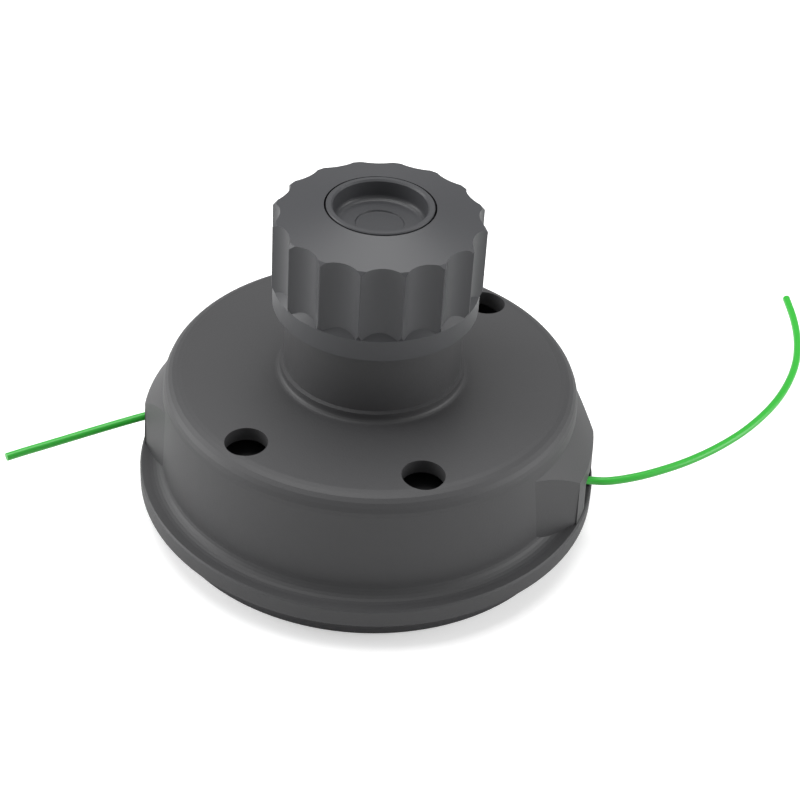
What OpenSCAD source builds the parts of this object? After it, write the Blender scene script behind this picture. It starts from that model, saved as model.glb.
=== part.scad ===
// Twin-line trimmer head with a screw-down knob, standing on its machine side.
// The spin axis is Z, the resting plane is z = 0, and the line windows face +X and -X.

/* [Spool] */
// Outer radius of the spool's flanges
flange_r = 44; // [40:0.5:48]
// Outer radius of the spool's hub
hub_r = 14; // [13:0.1:17]
// Thickness of the hub's outer wall
hub_wall = 2; // [1.4:0.1:2.4]
// Thickness of the wall that turns on the arbor
bush_wall = 2.25; // [1.5:0.05:2.5]
// Thickness of the top and bottom flanges
flange_t = 1.8; // [1.4:0.1:2.4]
// Thickness of the flange between the two chambers
divider_t = 1.4; // [1:0.1:2]
// Height of each line chamber
chamber_h = 8.2; // [6.5:0.1:10]
// Height of the hub above the top flange
hub_rise = 2.4; // [1.5:0.1:4]

/* [Line] */
// Diameter of the cutting line
line_d = 2; // [1.6:0.1:3]
// Outer radius of the wound line
winding_r = 35.6; // [28:0.1:38]

/* [Drum] */
// Clearance between the spool's flanges and the drum wall
spool_gap = 3; // [2:0.1:4]
// Thickness of the drum wall
drum_wall = 3; // [2.2:0.1:4]
// How much wider the drum wall is at its foot than under the shoulder
drum_draft = 0.6; // [0.2:0.1:1.2]
// Clearance between the washer on the spool and the underside of the dome
dome_gap = 1.1; // [0.6:0.1:2]
// Thickness of the dome
dome_wall = 3.4; // [2.4:0.1:4.5]
// Angle at which the dome falls from the neck to the shoulder
dome_tilt = 1.7; // [0.5:0.1:4]
// Radius of the rounded shoulder between dome and wall
shoulder_r = 4.6; // [3.5:0.1:6]

/* [Rim] */
// How far the flange at the mouth of the drum stands out from the wall
rim_w = 5.4; // [4.5:0.1:8]
// Thickness of the flange
rim_h = 4.9; // [4:0.1:6]
// Radius of the fillet between flange and drum wall
rim_fillet = 3; // [2:0.1:3.5]

/* [Neck] */
// Outer radius of the neck at its top
neck_r = 21; // [18.5:0.1:24]
// How much wider the neck is at its foot
neck_draft = 0.3; // [0.1:0.1:0.6]
// Height of the neck above the dome
neck_h = 25; // [20:0.5:30]
// Thickness of the neck's wall
neck_wall = 3; // [2.2:0.1:5]
// Thickness of the neck's closed top
neck_roof = 4; // [3:0.1:5]
// Depth of the cup under the neck's top that holds the spring
spring_cup = 3; // [2:0.1:5]

/* [Line windows] */
// How far a lug's outer face stands in from the edge of the flange
lug_inset = 1; // [0.6:0.1:2]
// Half the width of a lug's outer face
lug_half = 10.5; // [8:0.1:13]
// Angle of a lug's flanks from the radial line through its window
flank_angle = 52.6; // [48:0.2:56]
// How far below the shoulder a lug's sloped top leaves the drum wall
lug_drop = 1.9; // [1:0.1:5]
// Fall of a lug's sloped top for each millimetre outwards
lug_slope = 1.6; // [1:0.05:1.8]
// Half the width of a window at the outer face
window_half = 4.6; // [3.5:0.1:6]
// Half the width of a window at its inner mouth
window_mouth = 10; // [8:0.1:11]
// Height of a window at the outer face
window_h = 7.9; // [6:0.1:9]
// Height of a window's sill above the floor of the lower chamber
window_sill = 0.3; // [0.1:0.1:1]
// How far a window's inner mouth reaches up into the upper chamber
window_reach = 3.1; // [2.5:0.1:5]

/* [Vent holes] */
// Radius of a vent hole in the dome
vent_r = 5; // [3:0.1:6]
// Distance from the drum wall's outer face to the edge of a vent hole
vent_inset = 3.5; // [3.2:0.1:8]
// Angle of the first vent hole from the line windows
vent_angle = 60; // [50:1:65]

/* [Base cover] */
// Height of the base cover's skirt, on which the head stands
cover_h = 6.7; // [5.5:0.1:9]
// How far the skirt stands out beyond the drum wall
cover_proud = 1.4; // [0.5:0.1:3]
// Thickness of the skirt
cover_wall = 3; // [2.2:0.1:4]
// Thickness of the plate
cover_plate = 3; // [2.2:0.1:3.6]
// Height of the spigot that enters the drum
spigot_h = 3; // [2:0.1:4]
// Thickness of the spigot
spigot_wall = 2.4; // [1.8:0.1:2.7]
// Thickness of the boss round the arbor's hexagon
boss_wall = 3.1; // [2:0.1:5]
// Height of the boss above the skirt
boss_rise = 2.3; // [1.5:0.1:4]
// Number of stiffening ribs on the underside
cover_ribs = 8; // [6:1:12]
// Thickness of a stiffening rib
rib_t = 2.2; // [1.5:0.1:3]
// Width of a driving key on the spigot
key_w = 8; // [6:0.5:10]

/* [Arbor] */
// Radius of the arbor's journal, on which the spool turns
journal_r = 7; // [6:0.1:7.5]
// Radius of the stud that carries the knob
stud_r = 4; // [3.5:0.1:4.5]
// Width across the flats of the arbor's hexagon
hex_af = 24; // [20:0.5:27]
// Thickness of the arbor's hexagon
hex_h = 5; // [4:0.1:6]
// Radius of the socket's wall, cut for a 10 mm thread
socket_r = 4.4; // [4:0.05:5]
// Depth of the socket
socket_h = 22; // [16:0.5:26]

/* [Knob] */
// Clearance between the neck and the knob's collar
collar_gap = 0.5; // [0.3:0.1:1]
// Thickness of the collar
collar_wall = 2.4; // [1.8:0.1:3.5]
// Height of the collar under the flutes
collar_h = 6.6; // [5:0.1:8]
// How far the collar covers the neck
collar_lap = 5.8; // [4:0.1:8]
// How far the crests of the flutes stand out beyond the collar
crest_proud = 0.65; // [0.3:0.05:1.2]
// Depth of a flute below the crests
flute_depth = 2.15; // [1.6:0.05:2.6]
// Number of flutes
flutes = 16; // [14:1:18]
// Angle of a crest from the line windows, with the knob screwed down
crest_angle = 4; // [0:0.5:22]
// Fall of the knob's top face from the cap to the flutes
knob_fall = 2.5; // [1.5:0.1:3.2]
// Thickness of the knob's wall behind the flutes
knob_wall = 2.8; // [2.2:0.1:3.4]
// Thickness of the knob's hub under the nut
nut_web = 6.2; // [4:0.1:8]
// Thickness of the knob's hub round the nut
nut_wall = 4.5; // [3:0.1:5.5]
// Number of ribs inside the knob
knob_ribs = 8; // [6:2:10]

/* [Knob cap] */
// Radius of the recess in the knob that holds the cap
cap_hole_r = 12.9; // [12:0.1:14]
// Depth of that recess
cap_hole_h = 6; // [5:0.1:7]
// Inner radius of the dished cap at its lip
cap_dish_r = 10.9; // [9.5:0.1:11.2]
// Thickness of the cap under its dish
cap_floor_t = 1.35; // [1:0.05:2]
// Radius of the shallow round pad in the floor of the dish
cap_pad_r = 5.5; // [4:0.1:7]

/* [Hardware] */
// Width across the flats of the knob's nut
nut_af = 13; // [11:0.1:14]
// Height of the knob's nut
nut_h = 6.5; // [5:0.1:8]
// Thickness of the thrust washer
thrust_t = 1.5; // [1:0.1:2.5]
// Thickness of the washer under the spool
spool_washer_t = 0.8; // [0.5:0.1:1.5]
// Thickness of the washer under the spring
spring_washer_t = 1.2; // [0.8:0.1:2]
// How far the spool's washers stand in from the edge of its hub
washer_inset = 1; // [0.5:0.1:2]
// Diameter of the spring's wire
wire_d = 1.8; // [1.4:0.1:2]
// Mean radius of the spring
spring_r = 10.5; // [9.5:0.1:11.5]
// Number of turns in the spring
spring_turns = 6; // [5:0.5:7]

/* [Hidden] */
$fn = 96;
over = 1;              // how far a cut runs past the face that it opens
slip = 0.05;           // radial clearance of a running fit
seat_gap = 0.1;        // clearance between pieces that are seated in one another
run_gap = 0.3;         // least distance between pieces that move past each other
arc_steps = 6;         // segments in a rounded profile corner

drum_in = flange_r + spool_gap;
drum_r = drum_in + drum_wall;
mouth_r = drum_in + 0.5;
hex_r = hex_af / 2 / cos(30);

hex_z = 1.2;
hex_top = hex_z + hex_h;
boss_r = hex_r + boss_wall;
boss_top = cover_h + boss_rise;
cover_r = drum_r + cover_proud;
spigot_r = mouth_r - 0.25;
plate_z = cover_h - cover_plate;
rib_z = 1.2;
boss_z = 0.6;
skirt_edge = 0.6;
key_r = spigot_r + 2;
key_h = 2.3;
key_count = 4;
key_angle = 45;

washer_gap = 0.1;
washer_r = hub_r - washer_inset;
spool_z = boss_top + spool_washer_t + washer_gap;
lower_z = spool_z + flange_t;
divider_z = lower_z + chamber_h;
upper_z = divider_z + divider_t;
top_flange_z = upper_z + chamber_h;
hub_top = top_flange_z + flange_t + hub_rise;
core_in_r = journal_r + slip + bush_wall;
core_out_r = hub_r - hub_wall;
core_floor = 2;
notch_w = 3;
notch_depth = 4;
notch_angle = 70;
spring_z = hub_top + washer_gap + spring_washer_t;

dome_in_z = spring_z + dome_gap;
dome_z = dome_in_z + dome_wall;
neck_foot_r = neck_r + neck_draft;
neck_top = dome_z + neck_h;
neck_bore_r = neck_r - neck_wall;
neck_ring = 0.8;
neck_ring_h = 1.2;
neck_fillet = 1.2;
neck_chamfer = 0.6;
dome_fall = (drum_r - shoulder_r - neck_foot_r) * tan(dome_tilt);
shoulder_z = dome_z - dome_fall - shoulder_r;
dome_in_r = 3;
rim_z = cover_h;
rim_top = rim_z + rim_h;
rim_r = drum_r + drum_draft + rim_w;
rim_edge = 0.4;
spring_seat_z = neck_top - neck_roof;
stud_hole_r = stud_r + 0.5;
cup_r = spring_r + wire_d / 2 + 0.4;
cup_wall = 1.8;

lug_r = rim_r - lug_inset;
lug_top = shoulder_z - lug_drop;
lug_draft = 0.5;
window_z = lower_z + window_sill;
window_mouth_h = upper_z + window_reach - window_z;
vent_circle = drum_r - vent_inset - vent_r;

journal_top = spring_z + 1.2;
thrust_z = neck_top;
knob_hub_z = thrust_z + thrust_t;
nut_z = knob_hub_z + nut_web;
cap_z = nut_z + nut_h;
knob_top = cap_z + cap_hole_h;
stud_top = cap_z - run_gap;
knob_roof_z = cap_z - knob_wall;
knob_hub_r = nut_af / 2 / cos(30) + nut_wall;
thrust_r = knob_hub_r - 0.5;

collar_in_r = neck_foot_r + collar_gap;
collar_r = collar_in_r + collar_wall;
collar_z = neck_top - collar_lap;
crest_r = collar_r + crest_proud;
flute_root_r = crest_r - flute_depth;
flute_z = collar_z + collar_h;
flute_top = knob_top - knob_fall;
flute_run = 1.4;
knob_edge = 0.9;
knob_in_r = flute_root_r - knob_wall;
sharp_r = crest_r + 0.15;                // where two flutes would meet in a sharp crest
flute_half = 180 / flutes;
flute_chord = sharp_r * sin(flute_half);
flute_sag = sharp_r * cos(flute_half) - flute_root_r;
flute_r = (flute_chord * flute_chord + flute_sag * flute_sag) / (2 * flute_sag);

cap_r = cap_hole_r - seat_gap;
cap_lip_r = cap_hole_r - 0.45;
cap_top = knob_top + 0.25;
cap_floor = cap_z + cap_floor_t;
cap_fillet = 1.4;
cap_pad_h = 0.35;

// Route of the line from the upper chamber, out of the +X window to its cut end
right_route = [[32.3, -17.8, 22.6], [37, -13.6, 22.6], [42, -9.5, 22.5], [47, -5.9, 21.2], [51, -3.2, 19.3],
               [55.5, -0.9, 18], [60, 0.7, 17.6], [66, 4.2, 17.5], [72, 8.8, 17.5], [78, 14.4, 17.5],
               [84, 21.4, 17.5], [89.5, 29.4, 17.5], [94, 38, 17.5], [97.5, 47, 17.5], [99.8, 56.5, 17.5],
               [100.8, 66, 17.5], [100.3, 76, 17.5], [98.6, 85.5, 17.5], [96, 94.7, 17.5]];
// Route of the line from the lower chamber, out of the -X window to its cut end
left_route = [[-33, 16.8, 14], [-37.5, 12.6, 14], [-42, 8.7, 14], [-46.4, 5.2, 14], [-51, 1.6, 14],
              [-56.8, -2.9, 14], [-61.9, -7.5, 14], [-66.8, -12.1, 14], [-71.7, -16.8, 14],
              [-76.5, -21.4, 14], [-80.4, -25.1, 14], [-83.5, -28.2, 14]];
line_sides = 8;
spring_sides = 8;
spring_steps = 14;     // rings in each turn of the spring

black = [0.13, 0.13, 0.135];
dark = [0.17, 0.17, 0.18];
steel = [0.66, 0.67, 0.69];
grey = [0.32, 0.33, 0.35];
green = [0.16, 0.62, 0.18];

// Points of an arc, as [r, z] pairs
function arc(c, r, a0, a1, n = arc_steps) =
    [for (i = [0:n]) c + r * [cos(a0 + (a1 - a0) * i / n), sin(a0 + (a1 - a0) * i / n)]];

// Turns a profile of [r, z] points into a solid round the spin axis
module turned(profile) {
    rotate_extrude() polygon(profile);
}

// A ring between two radii
module ring(r_out, r_in, z, h) {
    difference() {
        translate([0, 0, z]) cylinder(r = r_out, h = h);
        translate([0, 0, z - over]) cylinder(r = r_in, h = h + 2 * over);
    }
}

// A hexagonal prism, given its width across the flats
module hexagon(af, z, h) {
    translate([0, 0, z]) cylinder(r = af / 2 / cos(30), h = h, $fn = 6);
}

// Copies its children round the spin axis
module around(count, start = 0) {
    for (i = [0:count - 1]) rotate(start + i * 360 / count) children();
}

// Unit vector along a route at point i
function heading(p, i) =
    let (a = p[max(i - 1, 0)], b = p[min(i + 1, len(p) - 1)]) (b - a) / norm(b - a);

// Point on the smooth curve between points i and i + 1 of a route
function between(p, i, t) =
    let (n = len(p), a = p[max(i - 1, 0)], b = p[i], c = p[i + 1], d = p[min(i + 2, n - 1)])
    0.5 * (2 * b + (c - a) * t + (2 * a - 5 * b + 4 * c - d) * t * t + (3 * b - a - 3 * c + d) * t * t * t);

// A route with one more point between each two
function finer(p) = [for (i = [0:len(p) - 2]) each [p[i], between(p, i, 0.5)], p[len(p) - 1]];

// A round tube swept along a route, with flat ends
module tube(route, d, sides) {
    n = len(route);
    points = [for (i = [0:n - 1])
        let (t = heading(route, i), side = cross([0, 0, 1], t), u = side / norm(side), v = cross(t, u))
        for (k = [0:sides - 1]) let (a = 360 * k / sides) route[i] + d / 2 * (cos(a) * u + sin(a) * v)];
    walls = [for (i = [0:n - 2], k = [0:sides - 1])
        let (a = i * sides + k, b = i * sides + (k + 1) % sides)
        each [[a, a + sides, b], [b, a + sides, b + sides]]];
    ends = [[for (k = [0:sides - 1]) k], [for (k = [sides - 1:-1:0]) (n - 1) * sides + k]];
    polyhedron(points = points, faces = concat(walls, ends), convexity = 6);
}

// Outer form of the drum, dome and neck
module drum_outside() {
    ledge_r = drum_r + drum_draft + rim_fillet;
    turned(concat(
        [[0, rim_z], [rim_r - rim_edge, rim_z], [rim_r, rim_z + rim_edge], [rim_r, rim_top - rim_edge],
         [rim_r - rim_edge, rim_top]],
        arc([ledge_r, rim_top + rim_fillet], rim_fillet, 270, 180),
        arc([drum_r - shoulder_r, shoulder_z], shoulder_r, 0, 90 - dome_tilt),
        arc([neck_foot_r + neck_ring + neck_fillet, dome_z + neck_fillet], neck_fillet, 270, 180, 4),
        [[neck_foot_r + neck_ring, dome_z + neck_fillet + neck_ring_h],
         [neck_foot_r, dome_z + neck_fillet + neck_ring_h + neck_ring / 2],
         [neck_r, neck_top - neck_chamfer], [neck_r - neck_chamfer, neck_top], [0, neck_top]]));
}

// Hollow of the drum, for the spool, and of the neck, for the spring
module drum_hollow() {
    wall_z = dome_in_z - dome_fall - dome_in_r;
    turned(concat(
        [[0, rim_z - over], [mouth_r, rim_z - over], [mouth_r, rim_z + spigot_h + 0.4],
         [drum_in, rim_z + spigot_h + 0.9]],
        arc([drum_in - dome_in_r, wall_z], dome_in_r, 0, 90 - dome_tilt),
        [[neck_bore_r + 1, dome_in_z], [neck_bore_r, dome_in_z + 1], [neck_bore_r, spring_seat_z],
         [0, spring_seat_z]]));
}

// Plan of a lug: the outer face, with flanks that run back to meet the drum
module lug_plan() {
    corner = [sqrt(lug_r * lug_r - lug_half * lug_half), lug_half];
    back = drum_in - 7;
    reach = (corner[0] - back) / cos(flank_angle);
    root = corner + reach * [-cos(flank_angle), sin(flank_angle)];
    intersection() {
        polygon([[back, -root[1]], [corner[0], -corner[1]], [rim_r, -corner[1]], [rim_r, corner[1]],
                 [corner[0], corner[1]], [back, root[1]]]);
        circle(r = rim_r);
    }
}

// One lug, closed above by its sloped top
module lug() {
    face_z = lug_top - lug_slope * (lug_r - drum_r);
    intersection() {
        translate([0, 0, rim_top - over]) linear_extrude(lug_top - rim_top + over) lug_plan();
        turned([[0, rim_top - over], [lug_r + lug_draft, rim_top - over], [lug_r, face_z],
                [drum_r - over, lug_top + lug_slope * over], [0, lug_top + lug_slope * over]]);
    }
}

// One line window, wide and high inside and narrow at the outer face
module window_cut() {
    mouth_x = drum_in - 2;
    out_x = lug_r + over;
    past = (out_x - mouth_x) / (lug_r - mouth_x);
    out_half = window_mouth - past * (window_mouth - window_half);
    out_h = window_mouth_h - past * (window_mouth_h - window_h);
    intersection() {
        translate([0, 0, window_z]) linear_extrude(window_mouth_h)
            polygon([[mouth_x, -window_mouth], [out_x, -out_half], [out_x, out_half],
                     [mouth_x, window_mouth]]);
        translate([0, window_mouth, 0]) rotate([90, 0, 0]) linear_extrude(2 * window_mouth)
            polygon([[mouth_x, window_z], [out_x, window_z], [out_x, window_z + out_h],
                     [mouth_x, window_z + window_mouth_h]]);
    }
}

// Drum housing: one black moulding with dome, neck, flange and two line windows
module housing() {
    color(black) difference() {
        union() {
            drum_outside();
            around(2) lug();
        }
        difference() {
            drum_hollow();
            ring(cup_r + cup_wall, cup_r, spring_seat_z - spring_cup, spring_cup + over);
        }
        around(2) window_cut();
        for (a = [vent_angle, 180 - vent_angle])
            around(2, a) translate([vent_circle, 0, dome_in_z - 2 * over])
                cylinder(r = vent_r, h = dome_wall + 4 * over, $fn = 48);
        translate([0, 0, spring_seat_z - over]) cylinder(r = stud_hole_r, h = neck_roof + 2 * over);
        around(key_count, key_angle) translate([drum_in - over, -key_w / 2 - seat_gap, rim_z - over])
            cube([key_r + seat_gap - drum_in + over, key_w + 2 * seat_gap, key_h + seat_gap + over]);
    }
}

// Base cover: closes the drum on the machine side and is the ring that the head stands on
module base_cover() {
    inner = cover_r - cover_wall;
    color(dark) difference() {
        union() {
            turned([[inner, 0], [cover_r - skirt_edge, 0], [cover_r, skirt_edge], [cover_r, cover_h],
                    [inner, cover_h]]);
            translate([0, 0, plate_z]) cylinder(r = inner + 0.5, h = cover_plate);
            ring(spigot_r, spigot_r - spigot_wall, cover_h - over, spigot_h + over);
            translate([0, 0, boss_z]) cylinder(r = boss_r, h = boss_top - boss_z);
            around(cover_ribs, 180 / cover_ribs) translate([boss_r - 0.5, -rib_t / 2, rib_z])
                cube([inner - boss_r + 1, rib_t, plate_z - rib_z + 0.5]);
            around(key_count, key_angle) translate([spigot_r - spigot_wall, -key_w / 2, cover_h - over])
                cube([key_r - spigot_r + spigot_wall, key_w, key_h + over]);
        }
        hexagon(hex_af + 2 * seat_gap, boss_z - over, hex_top - boss_z + over);
        translate([0, 0, boss_z]) cylinder(r = journal_r + seat_gap, h = boss_top);
    }
}

// Arbor: turned steel, with a hexagon, a threaded socket for the machine, a journal and a stud
module arbor() {
    socket_chamfer = 0.8;
    stud_chamfer = 0.8;
    color(steel) difference() {
        union() {
            hexagon(hex_af, hex_z, hex_h);
            translate([0, 0, hex_z]) cylinder(r = journal_r, h = journal_top - hex_z);
            turned([[0, journal_top - over], [stud_r, journal_top - over],
                    [stud_r, stud_top - stud_chamfer], [stud_r - stud_chamfer, stud_top], [0, stud_top]]);
        }
        translate([0, 0, hex_z - over]) cylinder(r = socket_r, h = socket_h + over);
        turned([[0, hex_z - over], [socket_r + socket_chamfer, hex_z - over],
                [socket_r + socket_chamfer, hex_z], [socket_r, hex_z + socket_chamfer],
                [0, hex_z + socket_chamfer]]);
    }
}

// Flat washer between the base cover's boss and the spool
module spool_washer() {
    color(steel) ring(washer_r, journal_r + 2 * seat_gap, boss_top, spool_washer_t);
}

// Flat washer between the spool's hub and the spring
module spring_washer() {
    color(steel) ring(washer_r, journal_r + 2 * seat_gap, hub_top + washer_gap, spring_washer_t);
}

// Compression spring in the neck that keeps the spool down, with closed ends
module spool_spring() {
    rise = spring_seat_z - spring_z - wire_d;
    dead = 1;
    steps = spring_turns * spring_steps;
    live = spring_turns - 2 * dead;
    function lift(turn) = let (s = min(max((turn - dead) / live, 0), 1))
        wire_d * (min(turn, dead) + max(turn - spring_turns + dead, 0)) + (rise - 2 * dead * wire_d) * s;
    route = [for (i = [0:steps]) let (turn = i / spring_steps)
        [spring_r * cos(360 * turn), spring_r * sin(360 * turn), spring_z + wire_d / 2 + lift(turn)]];
    color(steel) tube(route, wire_d, spring_sides);
}

// Spool: two line chambers on one hub that turns on the arbor
module spool() {
    color(grey) difference() {
        union() {
            ring(hub_r, journal_r + slip, spool_z, hub_top - spool_z);
            ring(flange_r, hub_r - 1, spool_z, flange_t);
            ring(flange_r, hub_r - 1, divider_z, divider_t);
            ring(flange_r, hub_r - 1, top_flange_z, flange_t);
        }
        ring(core_out_r, core_in_r, lower_z + core_floor, hub_top - lower_z - core_floor + over);
        around(2, notch_angle) translate([flange_r - notch_depth, -notch_w / 2, divider_z - over])
            cube([notch_depth + over, notch_w, top_flange_z + flange_t - divider_z + 2 * over]);
    }
}

// Line wound in one chamber, whose outer turns show as beads
module winding(z) {
    gap = seat_gap / 2;
    turns = floor((chamber_h - 2 * gap) / line_d);
    pitch = (chamber_h - 2 * gap) / turns;
    bead = pitch / 2;
    color(green) rotate_extrude() difference() {
        union() {
            translate([hub_r + gap, z + gap]) square([winding_r - bead - hub_r - gap, chamber_h - 2 * gap]);
            for (i = [0:turns - 1])
                translate([winding_r - bead, z + gap + bead + i * pitch]) circle(r = bead, $fn = 24);
        }
        square([hub_r + gap, z + chamber_h]);
    }
}

// Line in the lower chamber
module line_winding_lower() {
    winding(lower_z);
}

// Line in the upper chamber
module line_winding_upper() {
    winding(upper_z);
}

// Line that leaves by the +X window
module line_right() {
    color(green) tube(finer(right_route), line_d, line_sides);
}

// Line that leaves by the -X window
module line_left() {
    color(green) tube(finer(left_route), line_d, line_sides);
}

// Thrust washer between the neck and the knob, which rises and falls with the knob
module thrust_washer() {
    color(steel) ring(thrust_r, stud_hole_r, thrust_z, thrust_t);
}

// Plan of the knob's fluted part, with sharp crests between hollow flutes
module fluted_plan() {
    difference() {
        circle(r = crest_r);
        around(flutes, flute_half) translate([flute_root_r + flute_r, 0]) circle(r = flute_r);
    }
}

// Outer form of the knob: the fluted part, and the collar whose sloped shoulder closes each flute
module knob_outside() {
    foot_z = flute_z - flute_run;
    intersection() {
        translate([0, 0, foot_z]) linear_extrude(knob_top - foot_z) rotate(crest_angle) fluted_plan();
        turned([[0, foot_z], [collar_r, foot_z], [crest_r, flute_z], [crest_r, flute_top - knob_edge],
                [crest_r - knob_edge, flute_top], [cap_hole_r, knob_top], [0, knob_top]]);
    }
    turned([[0, collar_z], [collar_r, collar_z], [collar_r, foot_z],
            [collar_r - 2 * flute_run, flute_z + flute_run], [0, flute_z + flute_run]]);
}

// Knob: fluted moulding with a plain collar that covers the top of the neck
module knob() {
    step_z = neck_top + run_gap;
    color(black) difference() {
        knob_outside();
        difference() {
            union() {
                translate([0, 0, collar_z - over])
                    cylinder(r = collar_in_r, h = step_z - collar_z + over);
                translate([0, 0, collar_z - over])
                    cylinder(r = knob_in_r, h = knob_roof_z - collar_z + over);
            }
            translate([0, 0, knob_hub_z]) cylinder(r = knob_hub_r, h = knob_top);
            around(knob_ribs) translate([0, -rib_t / 2, knob_hub_z]) cube([crest_r, rib_t, knob_top]);
        }
        translate([0, 0, cap_z]) cylinder(r = cap_hole_r, h = knob_top);
        translate([0, 0, knob_hub_z - over]) cylinder(r = stud_hole_r, h = knob_top);
        hexagon(nut_af + 2 * seat_gap, nut_z, nut_h + over);
    }
}

// Hexagon nut that carries the knob on the stud
module knob_nut() {
    color(steel) difference() {
        hexagon(nut_af, nut_z, nut_h);
        translate([0, 0, nut_z - over]) cylinder(r = stud_r + slip, h = nut_h + 2 * over);
    }
}

// Dished cap that closes the top of the knob over the nut
module knob_cap() {
    lip_edge = 0.4;
    dish_draft = 0.3;
    step_z = cap_z + 3;
    color(black) turned(concat(
        [[0, cap_z], [cap_r, cap_z], [cap_r, step_z], [cap_lip_r, step_z + cap_r - cap_lip_r],
         [cap_lip_r, cap_top - lip_edge / 2], [cap_lip_r - lip_edge / 2, cap_top],
         [cap_dish_r + lip_edge, cap_top], [cap_dish_r, cap_top - lip_edge]],
        arc([cap_dish_r - dish_draft - cap_fillet, cap_floor + cap_fillet], cap_fillet, 0, -90),
        [[cap_pad_r + 0.2, cap_floor], [cap_pad_r, cap_floor - cap_pad_h], [0, cap_floor - cap_pad_h]]));
}

housing();
base_cover();
arbor();
spool_washer();
spring_washer();
spool_spring();
spool();
line_winding_lower();
line_winding_upper();
line_right();
line_left();
thrust_washer();
knob();
knob_nut();
knob_cap();
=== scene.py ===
"""Looks of a twin-line trimmer head: a black moulded drum with a fluted clamp knob, and green nylon line.

Every length is in metres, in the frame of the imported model: Z is the spin axis, and the line windows face +X and -X.
"""

import math

import bpy
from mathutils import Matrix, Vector


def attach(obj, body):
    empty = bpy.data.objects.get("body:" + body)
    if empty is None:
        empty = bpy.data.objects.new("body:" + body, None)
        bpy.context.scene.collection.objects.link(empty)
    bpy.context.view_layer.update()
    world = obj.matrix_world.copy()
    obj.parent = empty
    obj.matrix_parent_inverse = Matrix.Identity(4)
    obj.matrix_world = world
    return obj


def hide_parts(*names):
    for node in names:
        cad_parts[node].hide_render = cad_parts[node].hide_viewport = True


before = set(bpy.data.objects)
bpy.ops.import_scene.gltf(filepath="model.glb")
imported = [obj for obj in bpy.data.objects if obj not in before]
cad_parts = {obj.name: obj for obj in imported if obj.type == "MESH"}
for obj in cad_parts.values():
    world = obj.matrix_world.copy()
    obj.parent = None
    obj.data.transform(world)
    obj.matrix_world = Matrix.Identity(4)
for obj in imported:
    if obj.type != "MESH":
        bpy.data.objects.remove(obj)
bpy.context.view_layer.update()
scene = bpy.context.scene
MM = 0.001

# Camera
# The head is seen from above and in front, with its left side a little nearer, through a long lens.

camera_data = bpy.data.cameras.new("camera")
camera_data.sensor_width = 36
camera_data.lens = 90
camera_data.clip_start = 0.02
camera_data.clip_end = 10
camera = bpy.data.objects.new("camera", camera_data)
camera.location = (0.0802, -0.3804, 0.3220)
camera.rotation_euler = [math.radians(turn) for turn in (53.032, -2.966, 13.07)]
scene.collection.objects.link(camera)
scene.camera = camera
scene.view_settings.view_transform = "Standard"


# Studio
# A white sweep lit by large soft boxes: one overhead, one at each side, and none behind the camera.

def soft_box(name, place, target, width, height, power):
    """Adds a rectangular lamp at place that faces target."""
    lamp = bpy.data.lights.new(name, "AREA")
    lamp.shape = "RECTANGLE"
    lamp.size = width
    lamp.size_y = height
    lamp.energy = power
    holder = bpy.data.objects.new(name, lamp)
    holder.location = place
    holder.rotation_euler = (Vector(target) - Vector(place)).to_track_quat("-Z", "Y").to_euler()
    scene.collection.objects.link(holder)


ROOM_STRENGTH = 0.35               # light that the room sends from all round
FLOOR_LIFT = 0.45                  # what the camera sees added to the floor, so that it is white
drum_middle = (0, 0, 0.03)
soft_box("top_light", (-0.10, 0.12, 0.75), drum_middle, 0.75, 0.55, 5.5)
soft_box("left_light", (-0.75, -0.10, 0.28), drum_middle, 0.5, 0.5, 4.5)
soft_box("right_light", (0.75, 0.10, 0.28), drum_middle, 0.5, 0.5, 3.5)

world = bpy.data.worlds.new("studio")
scene.world = world
world.use_nodes = True
world_nodes = world.node_tree.nodes
world_links = world.node_tree.links
world_nodes.clear()
world_out = world_nodes.new("ShaderNodeOutputWorld")
world_mix = world_nodes.new("ShaderNodeMixShader")
world_path = world_nodes.new("ShaderNodeLightPath")
room_light = world_nodes.new("ShaderNodeBackground")
room_light.inputs["Color"].default_value = (1, 1, 1, 1)
room_light.inputs["Strength"].default_value = ROOM_STRENGTH
white_wall = world_nodes.new("ShaderNodeBackground")
white_wall.inputs["Color"].default_value = (1, 1, 1, 1)
white_wall.inputs["Strength"].default_value = 1
world_links.new(world_path.outputs["Is Camera Ray"], world_mix.inputs["Fac"])
world_links.new(room_light.outputs["Background"], world_mix.inputs[1])
world_links.new(white_wall.outputs["Background"], world_mix.inputs[2])
world_links.new(world_mix.outputs["Shader"], world_out.inputs["Surface"])


def new_material(name):
    """A material with an empty node tree, its output node and its Principled shader."""
    material = bpy.data.materials.new(name)
    material.use_nodes = True
    material.node_tree.nodes.clear()
    nodes = material.node_tree.nodes
    out = nodes.new("ShaderNodeOutputMaterial")
    surface = nodes.new("ShaderNodeBsdfPrincipled")
    material.node_tree.links.new(surface.outputs["BSDF"], out.inputs["Surface"])
    return material, surface, out


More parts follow.
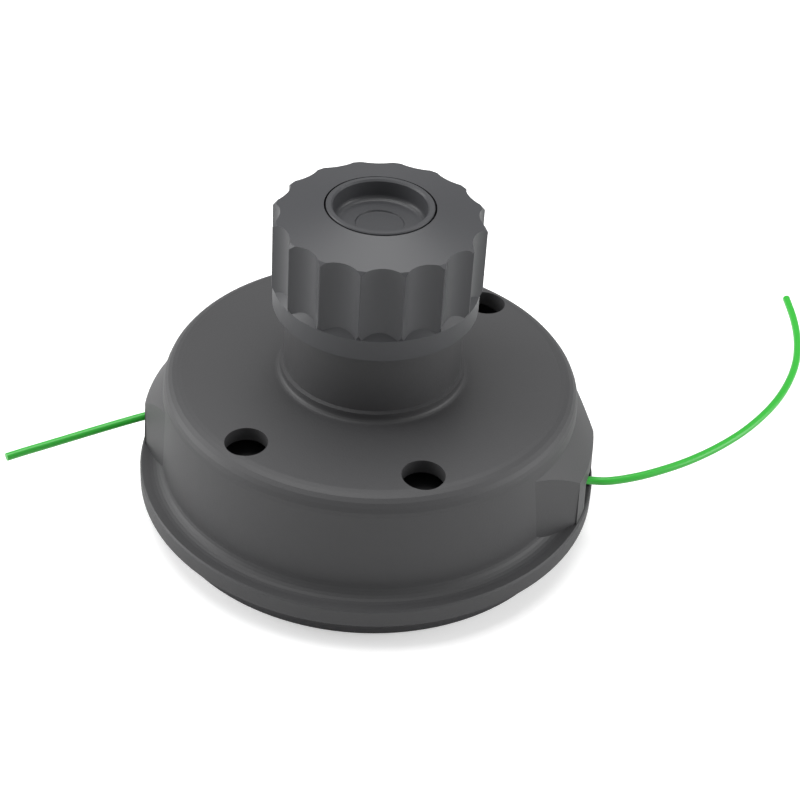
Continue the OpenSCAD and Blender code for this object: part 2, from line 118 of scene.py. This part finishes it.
bpy.ops.object.select_all(action="DESELECT")
bpy.ops.mesh.primitive_circle_add(vertices=96, radius=2.5, fill_type="NGON", location=(0, 0, -0.0001))
floor = bpy.context.object
floor.name = "floor"
floor_paint, floor_surface, floor_out = new_material("white_sweep")
floor_surface.inputs["Base Color"].default_value = (0.82, 0.82, 0.82, 1)
floor_surface.inputs["Roughness"].default_value = 0.9
floor_nodes = floor_paint.node_tree.nodes
floor_links = floor_paint.node_tree.links
floor_lift = floor_nodes.new("ShaderNodeEmission")
floor_path = floor_nodes.new("ShaderNodeLightPath")
floor_share = floor_nodes.new("ShaderNodeMath")
floor_share.operation = "MULTIPLY"
floor_share.inputs[1].default_value = FLOOR_LIFT
floor_sum = floor_nodes.new("ShaderNodeAddShader")
floor_links.new(floor_path.outputs["Is Camera Ray"], floor_share.inputs[0])
floor_links.new(floor_share.outputs["Value"], floor_lift.inputs["Strength"])
floor_links.new(floor_surface.outputs["BSDF"], floor_sum.inputs[0])
floor_links.new(floor_lift.outputs["Emission"], floor_sum.inputs[1])
floor_links.new(floor_sum.outputs["Shader"], floor_out.inputs["Surface"])
floor.data.materials.append(floor_paint)


# Cutting line
# Two free ends of 2 mm green nylon line, drawn out of the windows, that still curl as they lay on the spool.
# Each is bare, cut off with cutters.

LINE_D = 2 * MM
RIGHT_ROUTE = [(32.3, -17.8, 22.6), (37, -13.6, 22.6), (42, -9.5, 22.5), (47, -5.9, 21.2), (51, -3.2, 19.3),
               (55.5, -0.9, 18), (60, 0.7, 17.6), (66, 4.2, 17.5), (72, 8.8, 17.5), (78, 14.4, 17.5),
               (84, 21.4, 17.5), (89.5, 29.4, 17.5), (94, 38, 17.5), (97.5, 47, 17.5), (99.8, 56.5, 17.5),
               (100.8, 66, 17.5), (100.3, 76, 17.5), (98.6, 85.5, 17.5), (96, 94.7, 17.5)]
LEFT_ROUTE = [(-33, 16.8, 14), (-37.5, 12.6, 14), (-42, 8.7, 14), (-46.4, 5.2, 14), (-51, 1.6, 14),
              (-56.8, -2.9, 14), (-61.9, -7.5, 14), (-66.8, -12.1, 14), (-71.7, -16.8, 14),
              (-76.5, -21.4, 14), (-80.4, -25.1, 14), (-83.5, -28.2, 14)]


def smooth_route(points, parts=6):
    """A Catmull-Rom curve through the points of a route, in metres."""
    points = [Vector(p) * MM for p in points]
    curve = []
    for i in range(len(points) - 1):
        a, b = points[max(i - 1, 0)], points[i]
        c, d = points[i + 1], points[min(i + 2, len(points) - 1)]
        for k in range(parts):
            t = k / parts
            curve.append(0.5 * (2 * b + (c - a) * t + (2 * a - 5 * b + 4 * c - d) * t ** 2
                                + (3 * b - a - 3 * c + d) * t ** 3))
    curve.append(points[-1])
    return curve


def line_piece(name, route):
    """A round line swept along a route, as a mesh with closed ends."""
    points = smooth_route(route)
    data = bpy.data.curves.new(name, "CURVE")
    data.dimensions = "3D"
    data.bevel_depth = LINE_D / 2
    data.bevel_resolution = 5
    data.use_fill_caps = True
    spline = data.splines.new("POLY")
    spline.points.add(len(points) - 1)
    for at, point in zip(spline.points, points):
        at.co = (*point, 1)
    piece = bpy.data.objects.new(name, data)
    scene.collection.objects.link(piece)
    bpy.ops.object.select_all(action="DESELECT")
    piece.select_set(True)
    bpy.context.view_layer.objects.active = piece
    bpy.ops.object.convert(target="MESH")
    piece = bpy.context.object
    piece.name = name
    bpy.ops.object.shade_smooth_by_angle(angle=math.radians(40))
    return piece, points


nylon, nylon_surface, nylon_out = new_material("green_nylon")
nylon_surface.inputs["Base Color"].default_value = (0.03, 0.42, 0.035, 1)
nylon_surface.inputs["Roughness"].default_value = 0.32

right_line, right_points = line_piece("cutting_line_right", RIGHT_ROUTE)
left_line, left_points = line_piece("cutting_line_left", LEFT_ROUTE)
for piece, node, points, way_out in ((right_line, "line_right", right_points, (0.0553, -0.001, 0.018)),
                                     (left_line, "line_left", left_points, (-0.0549, -0.0014, 0.014))):
    piece.data.materials.append(nylon)
    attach(piece, "drum")
    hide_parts(node)


# Plastic and steel finishes
# The drum, cover, knob and spool are moulded in black nylon with a fine grain; the spool is also set a little darker
# than the drum, as painted shade for the dark inside of the drum.
# The arbor, washers, nut and spring are plated steel.

def grained_plastic(name, colour, roughness, grain, grain_depth):
    """Black moulded nylon with a fine spark-eroded grain."""
    material, surface, out = new_material(name)
    nodes, links = material.node_tree.nodes, material.node_tree.links
    where = nodes.new("ShaderNodeTexCoord")
    noise = nodes.new("ShaderNodeTexNoise")
    noise.inputs["Scale"].default_value = 1 / grain
    noise.inputs["Detail"].default_value = 2
    bump = nodes.new("ShaderNodeBump")
    bump.inputs["Distance"].default_value = grain_depth
    bump.inputs["Strength"].default_value = 1
    links.new(where.outputs["Object"], noise.inputs["Vector"])
    links.new(noise.outputs["Fac"], bump.inputs["Height"])
    links.new(bump.outputs["Normal"], surface.inputs["Normal"])
    surface.inputs["Base Color"].default_value = (*colour, 1)
    surface.inputs["Roughness"].default_value = roughness
    return material


housing_plastic = grained_plastic("housing_plastic", (0.045, 0.045, 0.047), 0.55, 0.5 * MM, 0.03 * MM)
cover_plastic = grained_plastic("cover_plastic", (0.05, 0.05, 0.053), 0.45, 0.8 * MM, 0.004 * MM)
knob_plastic = grained_plastic("knob_plastic", (0.045, 0.046, 0.05), 0.42, 0.6 * MM, 0.004 * MM)
# The spool is black nylon, set darker than the drum as painted shade for the shaded inside seen through the windows.
spool_plastic = grained_plastic("spool_plastic", (0.03, 0.03, 0.032), 0.5, 0.8 * MM, 0.004 * MM)
steel, steel_surface, steel_out = new_material("plated_steel")
steel_surface.inputs["Base Color"].default_value = (0.6, 0.61, 0.63, 1)
steel_surface.inputs["Metallic"].default_value = 1
steel_surface.inputs["Roughness"].default_value = 0.32

finish_of = {"housing": housing_plastic, "base_cover": cover_plastic, "arbor": steel, "spool_washer": steel,
             "spring_washer": steel, "spool_spring": steel, "spool": spool_plastic,
             "line_winding_lower": nylon, "line_winding_upper": nylon, "thrust_washer": steel,
             "knob": knob_plastic, "knob_nut": steel, "knob_cap": knob_plastic}
for node, finish in finish_of.items():
    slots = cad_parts[node].data.materials
    slots.clear()
    slots.append(finish)
